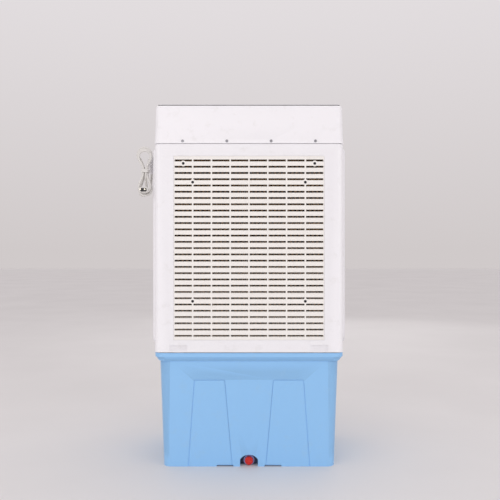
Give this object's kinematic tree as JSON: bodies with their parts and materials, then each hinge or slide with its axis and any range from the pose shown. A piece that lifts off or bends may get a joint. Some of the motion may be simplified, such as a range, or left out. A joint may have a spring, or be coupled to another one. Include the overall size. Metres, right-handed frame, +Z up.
{
  "type": "evaporative cooler",
  "caption": "Free-standing evaporative air cooler: white fan housing with a swing-out wet-pad intake panel, louvred outlet and top controls, on a light blue water tank with a drain plug.",
  "frame": {"origin": "middle of the footprint at floor level, measured without the mains lead", "axes": "+Z up; -Y the air intake side with the wet pad; +Y the louvred air outlet; -X the side the mains lead leaves from"},
  "size_m": [0.636, 0.388, 1.091],
  "materials": {
    "white_plastic": "fine-grained white moulded polypropylene",
    "grille_plastic": "warm white moulded plastic",
    "tank_blue": "light blue moulded polypropylene",
    "honeycomb": "resin-stiffened corrugated cellulose",
    "red_plastic": "glossy red",
    "lilac_plastic": "glossy pale violet",
    "navy_plastic": "dark navy moulded plastic",
    "black_plastic": "matt black",
    "grey_plastic": "mid grey",
    "clear_plastic": "clear acrylic",
    "dark_screw": "black oxide steel",
    "grey_screw": "zinc plated steel",
    "steel": "bright turned steel",
    "motor_paint": "dark grey enamel",
    "galvanised": "galvanised sheet",
    "fan_plastic": "light grey nylon",
    "hose_pvc": "milky soft PVC",
    "cord_white": "off-white PVC",
    "brass_pins": "nickel plated brass"
  },
  "bodies": {
    "housing": {"water_tank": "tank_blue", "drain_spout": "navy_plastic", "drain_seal": "lilac_plastic", "level_tube": "clear_plastic", "pump_body": "black_plastic", "pump_strainer": "black_plastic", "base_deck": "white_plastic", "left_side_wall": "white_plastic", "right_side_wall": "white_plastic", "rear_header": "white_plastic", "water_trough": "white_plastic", "riser_hose": "hose_pvc", "fan_shroud": "white_plastic", "motor_bracket": "galvanised", "fan_motor": "motor_paint", "front_bezel": "white_plastic", "swing_motor": "black_plastic", "top_cover": "white_plastic", "cover_screws": "grey_screw", "control_panel": "grey_plastic", "control_switches": "black_plastic", "motor_capacitor": "grey_plastic", "cord_gland": "white_plastic", "power_cord": "cord_white", "cord_hank": "cord_white", "cord_tie": "cord_white", "plug_body": "cord_white", "plug_pins": "brass_pins"},
    "intake_panel": {"rear_frame": "white_plastic", "panel_hinge_pins": "steel", "intake_grille": "grille_plastic", "pad_frame": "white_plastic", "cooling_pad": "honeycomb", "grille_screws": "dark_screw"},
    "left_latch": {"left_latch": "white_plastic"},
    "right_latch": {"right_latch": "white_plastic"},
    "drain_plug": {"drain_plug": "red_plastic"},
    "fill_flap": {"fill_flap": "tank_blue"},
    "level_float": {"level_float": "red_plastic"},
    "pump_rotor": {"pump_rotor": "grey_plastic"},
    "fan": {"fan_shaft": "steel", "fan_impeller": "fan_plastic", "shaft_nut": "steel"},
    "louvre_1": {"louvre_1": "white_plastic"},
    "louvre_2": {"louvre_2": "white_plastic"},
    "louvre_3": {"louvre_3": "white_plastic"},
    "louvre_4": {"louvre_4": "white_plastic"},
    "louvre_5": {"louvre_5": "white_plastic"},
    "louvre_link": {"louvre_link": "black_plastic"},
    "vane_1": {"vane_1": "white_plastic"},
    "vane_2": {"vane_2": "white_plastic"},
    "vane_3": {"vane_3": "white_plastic"},
    "vane_4": {"vane_4": "white_plastic"},
    "vane_5": {"vane_5": "white_plastic"},
    "vane_6": {"vane_6": "white_plastic"},
    "vane_link": {"vane_link": "black_plastic"},
    "speed_knob": {"speed_knob": "black_plastic"},
    "timer_knob": {"timer_knob": "black_plastic"},
    "swing_button": {"swing_button": "grey_plastic"},
    "pump_button": {"pump_button": "grey_plastic"}
  },
  "joints": [
    {"name": "intake_panel_swing", "type": "hinge", "parent": "housing", "child": "intake_panel", "pos_m": [0, -0.1871, 0.9675], "axis": [-1, 0, 0], "range_deg": [0, 30]},
    {"name": "left_latch_slide", "type": "slide", "parent": "intake_panel", "child": "left_latch", "axis": [0, 0, 1], "range_m": [0, 0.006], "stiffness_N_per_m": 150, "springref_m": -0.004},
    {"name": "right_latch_slide", "type": "slide", "parent": "intake_panel", "child": "right_latch", "axis": [0, 0, 1], "range_m": [0, 0.006], "stiffness_N_per_m": 150, "springref_m": -0.004},
    {"name": "drain_plug_pull", "type": "slide", "parent": "housing", "child": "drain_plug", "axis": [0, -1, 0], "range_m": [0, 0.03]},
    {"name": "fill_flap_hinge", "type": "hinge", "parent": "housing", "child": "fill_flap", "pos_m": [0, 0.18502, 0.302], "axis": [1, 0, 0], "range_deg": [0, 80]},
    {"name": "level_float_rise", "type": "slide", "parent": "housing", "child": "level_float", "axis": [0, 0, 1], "range_m": [0, 0.165]},
    {"name": "pump_rotor_spin", "type": "hinge", "parent": "housing", "child": "pump_rotor", "pos_m": [0.205, -0.04, 0.02], "axis": [0, 0, 1], "continuous": true},
    {"name": "fan_spin", "type": "hinge", "parent": "housing", "child": "fan", "pos_m": [0, 0, 0.716], "axis": [0, 1, 0], "continuous": true},
    {"name": "louvre_tilt", "type": "hinge", "parent": "housing", "child": "louvre_1", "pos_m": [0, 0.165, 0.58], "axis": [1, 0, 0], "range_deg": [-35, 35]},
    {"name": "louvre_2_tilt", "type": "hinge", "parent": "housing", "child": "louvre_2", "pos_m": [0, 0.165, 0.648], "axis": [1, 0, 0], "range_deg": [-35, 35]},
    {"name": "louvre_3_tilt", "type": "hinge", "parent": "housing", "child": "louvre_3", "pos_m": [0, 0.165, 0.716], "axis": [1, 0, 0], "range_deg": [-35, 35]},
    {"name": "louvre_4_tilt", "type": "hinge", "parent": "housing", "child": "louvre_4", "pos_m": [0, 0.165, 0.784], "axis": [1, 0, 0], "range_deg": [-35, 35]},
    {"name": "louvre_5_tilt", "type": "hinge", "parent": "housing", "child": "louvre_5", "pos_m": [0, 0.165, 0.852], "axis": [1, 0, 0], "range_deg": [-35, 35]},
    {"name": "louvre_link_swing", "type": "hinge", "parent": "louvre_1", "child": "louvre_link", "pos_m": [0, 0.147, 0.58], "axis": [1, 0, 0], "range_deg": [-35, 35]},
    {"name": "vane_swing", "type": "hinge", "parent": "housing", "child": "vane_1", "pos_m": [-0.1875, 0.108, 0.716], "axis": [0, 0, 1], "range_deg": [-35, 35]},
    {"name": "vane_2_swing", "type": "hinge", "parent": "housing", "child": "vane_2", "pos_m": [-0.1125, 0.108, 0.716], "axis": [0, 0, 1], "range_deg": [-35, 35]},
    {"name": "vane_3_swing", "type": "hinge", "parent": "housing", "child": "vane_3", "pos_m": [-0.0375, 0.108, 0.716], "axis": [0, 0, 1], "range_deg": [-35, 35]},
    {"name": "vane_4_swing", "type": "hinge", "parent": "housing", "child": "vane_4", "pos_m": [0.0375, 0.108, 0.716], "axis": [0, 0, 1], "range_deg": [-35, 35]},
    {"name": "vane_5_swing", "type": "hinge", "parent": "housing", "child": "vane_5", "pos_m": [0.1125, 0.108, 0.716], "axis": [0, 0, 1], "range_deg": [-35, 35]},
    {"name": "vane_6_swing", "type": "hinge", "parent": "housing", "child": "vane_6", "pos_m": [0.1875, 0.108, 0.716], "axis": [0, 0, 1], "range_deg": [-35, 35]},
    {"name": "vane_link_swing", "type": "hinge", "parent": "vane_1", "child": "vane_link", "pos_m": [-0.1875, 0.0942, 0.716], "axis": [0, 0, 1], "range_deg": [-35, 35]},
    {"name": "speed_knob_turn", "type": "hinge", "parent": "housing", "child": "speed_knob", "pos_m": [-0.1, 0.18, 1.029], "axis": [0, -1, 0], "range_deg": [0, 270]},
    {"name": "timer_knob_turn", "type": "hinge", "parent": "housing", "child": "timer_knob", "pos_m": [-0.04, 0.18, 1.029], "axis": [0, -1, 0], "range_deg": [0, 300]},
    {"name": "swing_button_press", "type": "slide", "parent": "housing", "child": "swing_button", "axis": [0, -1, 0], "range_m": [0, 0.0025], "stiffness_N_per_m": 300, "springref_m": -0.002},
    {"name": "pump_button_press", "type": "slide", "parent": "housing", "child": "pump_button", "axis": [0, -1, 0], "range_m": [0, 0.0025], "stiffness_N_per_m": 300, "springref_m": -0.002}
  ],
  "couplings": [
    {"joint": "louvre_2_tilt", "follows": "louvre_tilt", "ratio": 1},
    {"joint": "louvre_3_tilt", "follows": "louvre_tilt", "ratio": 1},
    {"joint": "louvre_4_tilt", "follows": "louvre_tilt", "ratio": 1},
    {"joint": "louvre_5_tilt", "follows": "louvre_tilt", "ratio": 1},
    {"joint": "louvre_link_swing", "follows": "louvre_tilt", "ratio": -1},
    {"joint": "vane_2_swing", "follows": "vane_swing", "ratio": 1},
    {"joint": "vane_3_swing", "follows": "vane_swing", "ratio": 1},
    {"joint": "vane_4_swing", "follows": "vane_swing", "ratio": 1},
    {"joint": "vane_5_swing", "follows": "vane_swing", "ratio": 1},
    {"joint": "vane_6_swing", "follows": "vane_swing", "ratio": 1},
    {"joint": "vane_link_swing", "follows": "vane_swing", "ratio": -1}
  ]
}
